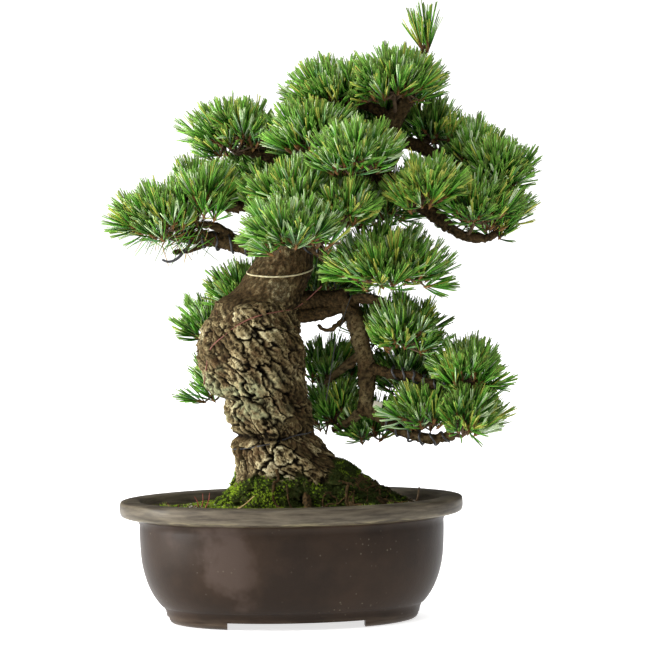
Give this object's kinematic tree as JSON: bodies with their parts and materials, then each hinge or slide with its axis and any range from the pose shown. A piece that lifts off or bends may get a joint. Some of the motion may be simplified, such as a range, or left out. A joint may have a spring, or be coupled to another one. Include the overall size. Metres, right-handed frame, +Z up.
{
  "type": "bonsai pine",
  "caption": "Miniature white pine with a thick leaning trunk, drooping limbs and flat pads of needle tufts, growing in an oval unglazed clay bowl on low feet.",
  "frame": {"origin": "middle of the whole plant's box in X and Y, at the undersides of the pot's feet", "axes": "+Z up along the tree's height, +X to the right of the front view, +Y away from the front"},
  "size_m": [0.4522, 0.3132, 0.6188],
  "materials": {
    "pot_clay": "unglazed dark brown clay, satin where handled, with pale haze and scratches",
    "soil_and_moss": "damp gritty soil under patches of green moss",
    "trunk_bark": "thick plated and fissured beige and grey bark, smoother and brown higher up",
    "bough_bark": "thin brown scaly bark",
    "pine_needles": "fine green and blue-green needles in dense tufts"
  },
  "bodies": {
    "root": {"pot": "pot_clay", "soil": "soil_and_moss", "trunk": "trunk_bark", "bough_left": "bough_bark", "bough_left_upper": "bough_bark", "bough_left_high": "bough_bark", "bough_front": "bough_bark", "bough_front_centre": "bough_bark", "bough_top_left": "bough_bark", "bough_right_upper": "bough_bark", "bough_right_thin": "bough_bark", "bough_right_high": "bough_bark", "bough_mid_right": "bough_bark", "bough_low_1": "bough_bark", "bough_low_2": "bough_bark", "bough_low_3": "bough_bark", "bough_low_c": "bough_bark", "bough_low_e": "bough_bark", "bough_low_f": "bough_bark", "bough_low_g": "bough_bark", "bough_back_left": "bough_bark", "bough_back_mid": "bough_bark", "bough_back_right": "bough_bark", "foliage_left_tip": "pine_needles", "foliage_left_mid": "pine_needles", "foliage_left_high": "pine_needles", "foliage_left_back": "pine_needles", "foliage_front_low": "pine_needles", "foliage_front_upper": "pine_needles", "foliage_front_right": "pine_needles", "foliage_front_centre": "pine_needles", "foliage_upper_left": "pine_needles", "foliage_top_left": "pine_needles", "foliage_apex": "pine_needles", "foliage_apex_back": "pine_needles", "foliage_leader": "pine_needles", "foliage_right_top": "pine_needles", "foliage_right_front": "pine_needles", "foliage_right_high": "pine_needles", "foliage_right_tip": "pine_needles", "foliage_right_mid": "pine_needles", "foliage_right_low": "pine_needles", "foliage_inner_right": "pine_needles", "foliage_mid_right": "pine_needles", "foliage_mid_low": "pine_needles", "foliage_low_right_high": "pine_needles", "foliage_low_right_tip": "pine_needles", "foliage_low_mid": "pine_needles", "foliage_low_centre": "pine_needles", "foliage_low_left": "pine_needles", "foliage_behind_limb": "pine_needles", "foliage_low_under": "pine_needles", "foliage_limb_right": "pine_needles", "foliage_back_left_top": "pine_needles", "foliage_back_left_mid": "pine_needles", "foliage_back_left_low": "pine_needles", "foliage_back_low": "pine_needles", "foliage_back_mid": "pine_needles", "foliage_back_high": "pine_needles", "foliage_back_right": "pine_needles"}
  },
  "joints": []
}
